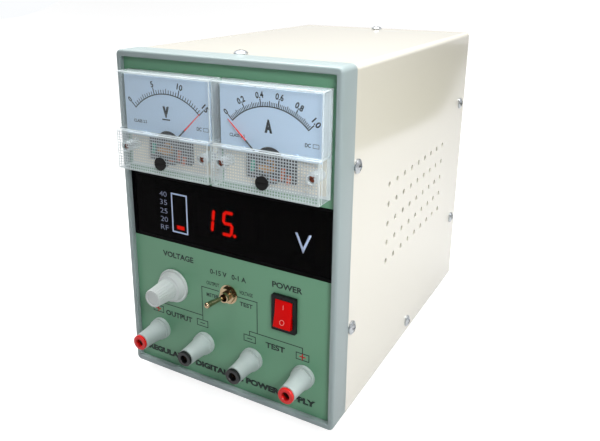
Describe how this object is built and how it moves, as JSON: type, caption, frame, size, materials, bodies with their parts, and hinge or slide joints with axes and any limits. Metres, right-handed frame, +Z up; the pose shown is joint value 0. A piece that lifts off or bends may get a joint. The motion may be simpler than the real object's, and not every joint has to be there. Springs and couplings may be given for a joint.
{
  "type": "bench power supply",
  "caption": "Bench DC power supply: boxed steel case with moving-coil volt and amp meters, LED display, voltage knob, toggle, power rocker and binding posts.",
  "frame": {"origin": "centre of the overall box, at the underside of the rubber feet", "axes": "+Z up, front panel faces -Y, +X to the right as seen from the front"},
  "size_m": [0.1458, 0.2674, 0.2099],
  "materials": {
    "frame_plastic": "satin blue-grey moulding",
    "bare_steel": "zinc-plated sheet",
    "printed_overlay": "fine-textured green print",
    "smoky_window": "dark tinted acrylic",
    "cover_paint": "cream powder coat",
    "zinc_screws": "bright zinc",
    "foot_rubber": "black rubber",
    "clear_acrylic": "clear acrylic",
    "meter_base_grey": "pale translucent grey moulding",
    "black_plastic": "moulded black",
    "dial_card": "pale blue-white print",
    "magnet_black": "black magnet and yoke",
    "needle_red": "red-tipped pointer",
    "brass": "bare brass",
    "dark_copper": "dark coppered steel",
    "knob_grey": "satin grey-white",
    "shaft_aluminium": "turned",
    "pot_metal": "pressed can",
    "warm_nickel": "polished, brassy",
    "blue_phenolic": "moulded blue",
    "rocker_red": "translucent red",
    "cap_grey": "satin grey",
    "ring_red": "red",
    "ring_black": "black",
    "tinned_brass": "tin plate",
    "drawer_black": "black",
    "fuse_glass": "glass and nickel caps",
    "selector_red": "red",
    "black_anodised": "black anodised",
    "transistor_can": "nickel can",
    "lamination_steel": "varnished laminations",
    "copper_coil": "taped copper winding",
    "board_green": "solder mask",
    "can_sleeve": "blue sleeve",
    "led_grey": "dark face"
  },
  "bodies": {
    "case": {"front_frame": "frame_plastic", "front_panel": "bare_steel", "front_bracket": "bare_steel", "chassis_tray": "bare_steel", "rear_panel": "bare_steel", "panel_overlay": "printed_overlay", "display_window": "smoky_window", "cover": "cover_paint", "cover_screws": "zinc_screws", "chassis_screws": "zinc_screws", "feet": "foot_rubber", "voltmeter_cover": "clear_acrylic", "ammeter_cover": "clear_acrylic", "voltmeter_base": "meter_base_grey", "ammeter_base": "meter_base_grey", "rocker_frame": "black_plastic", "inlet_body": "black_plastic", "selector_body": "black_plastic", "board_parts": "black_plastic", "voltmeter_dial": "dial_card", "ammeter_dial": "dial_card", "voltmeter_movement": "magnet_black", "ammeter_movement": "magnet_black", "meter_studs": "brass", "post_studs": "brass", "meter_screws": "dark_copper", "pot_body": "pot_metal", "toggle_bushing": "warm_nickel", "panel_nuts": "warm_nickel", "toggle_body": "blue_phenolic", "post_flanges": "cap_grey", "solder_lugs": "tinned_brass", "inlet_pins": "tinned_brass", "heat_sink": "black_anodised", "power_transistor": "transistor_can", "transformer_core": "lamination_steel", "transformer_coil": "copper_coil", "main_board": "board_green", "display_board": "board_green", "capacitors": "can_sleeve", "led_display": "led_grey"},
    "voltage_dial": {"voltage_knob": "knob_grey", "pot_shaft": "shaft_aluminium"},
    "toggle": {"toggle_lever": "warm_nickel"},
    "rocker": {"rocker_button": "rocker_red"},
    "voltmeter_pointer": {"voltmeter_needle": "needle_red"},
    "ammeter_pointer": {"ammeter_needle": "needle_red"},
    "voltmeter_adjuster": {"voltmeter_zero": "black_plastic"},
    "ammeter_adjuster": {"ammeter_zero": "black_plastic"},
    "selector": {"selector_slider": "selector_red"},
    "fuse_holder": {"fuse_drawer": "drawer_black", "fuse": "fuse_glass"},
    "output_plus_lift": {"output_plus_ring": "ring_red"},
    "output_plus_nut": {"output_plus_cap": "cap_grey"},
    "output_minus_lift": {"output_minus_ring": "ring_black"},
    "output_minus_nut": {"output_minus_cap": "cap_grey"},
    "test_minus_lift": {"test_minus_ring": "ring_black"},
    "test_minus_nut": {"test_minus_cap": "cap_grey"},
    "test_plus_lift": {"test_plus_ring": "ring_red"},
    "test_plus_nut": {"test_plus_cap": "cap_grey"}
  },
  "joints": [
    {"name": "voltage_turn", "type": "hinge", "parent": "case", "child": "voltage_dial", "pos_m": [-0.0388, -0.1159, 0.0672], "axis": [0, 1, 0], "range_deg": [-300, 0]},
    {"name": "toggle_throw", "type": "hinge", "parent": "case", "child": "toggle", "pos_m": [0.0013, -0.1144, 0.0717], "axis": [0, 0, 1], "range_deg": [0, 23]},
    {"name": "power_rock", "type": "hinge", "parent": "case", "child": "rocker", "pos_m": [0.0389, -0.1141, 0.0703], "axis": [1, 0, 0], "range_deg": [0, 20]},
    {"name": "voltmeter_swing", "type": "hinge", "parent": "case", "child": "voltmeter_pointer", "pos_m": [-0.0329, -0.12055, 0.1552], "axis": [0, 1, 0], "range_deg": [-94, 2]},
    {"name": "ammeter_swing", "type": "hinge", "parent": "case", "child": "ammeter_pointer", "pos_m": [0.0329, -0.12055, 0.1552], "axis": [0, 1, 0], "range_deg": [-1, 95]},
    {"name": "voltmeter_zero_turn", "type": "hinge", "parent": "case", "child": "voltmeter_adjuster", "pos_m": [-0.0329, -0.1258, 0.1486], "axis": [0, 1, 0], "continuous": true},
    {"name": "ammeter_zero_turn", "type": "hinge", "parent": "case", "child": "ammeter_adjuster", "pos_m": [0.0329, -0.1258, 0.1486], "axis": [0, 1, 0], "continuous": true},
    {"name": "output_plus_travel", "type": "slide", "parent": "case", "child": "output_plus_lift", "axis": [0, -1, 0], "range_m": [0, 0.005]},
    {"name": "output_plus_unscrew", "type": "hinge", "parent": "output_plus_lift", "child": "output_plus_nut", "pos_m": [-0.051, -0.1239, 0.0343], "axis": [0, -1, 0], "range_deg": [0, 1801]},
    {"name": "output_minus_travel", "type": "slide", "parent": "case", "child": "output_minus_lift", "axis": [0, -1, 0], "range_m": [0, 0.005]},
    {"name": "output_minus_unscrew", "type": "hinge", "parent": "output_minus_lift", "child": "output_minus_nut", "pos_m": [-0.017, -0.1239, 0.0343], "axis": [0, -1, 0], "range_deg": [0, 1801]},
    {"name": "test_minus_travel", "type": "slide", "parent": "case", "child": "test_minus_lift", "axis": [0, -1, 0], "range_m": [0, 0.005]},
    {"name": "test_minus_unscrew", "type": "hinge", "parent": "test_minus_lift", "child": "test_minus_nut", "pos_m": [0.017, -0.1239, 0.0343], "axis": [0, -1, 0], "range_deg": [0, 1801]},
    {"name": "test_plus_travel", "type": "slide", "parent": "case", "child": "test_plus_lift", "axis": [0, -1, 0], "range_m": [0, 0.005]},
    {"name": "test_plus_unscrew", "type": "hinge", "parent": "test_plus_lift", "child": "test_plus_nut", "pos_m": [0.051, -0.1239, 0.0343], "axis": [0, -1, 0], "range_deg": [0, 1801]},
    {"name": "selector_slide", "type": "slide", "parent": "case", "child": "selector", "axis": [1, 0, 0], "range_m": [0, 0.005]},
    {"name": "fuse_slide", "type": "slide", "parent": "case", "child": "fuse_holder", "axis": [0, 1, 0], "range_m": [0, 0.018]}
  ],
  "couplings": [
    {"joint": "output_plus_unscrew", "follows": "output_plus_travel", "rad_per_m": 6283.2},
    {"joint": "output_minus_unscrew", "follows": "output_minus_travel", "rad_per_m": 6283.2},
    {"joint": "test_minus_unscrew", "follows": "test_minus_travel", "rad_per_m": 6283.2},
    {"joint": "test_plus_unscrew", "follows": "test_plus_travel", "rad_per_m": 6283.2}
  ]
}
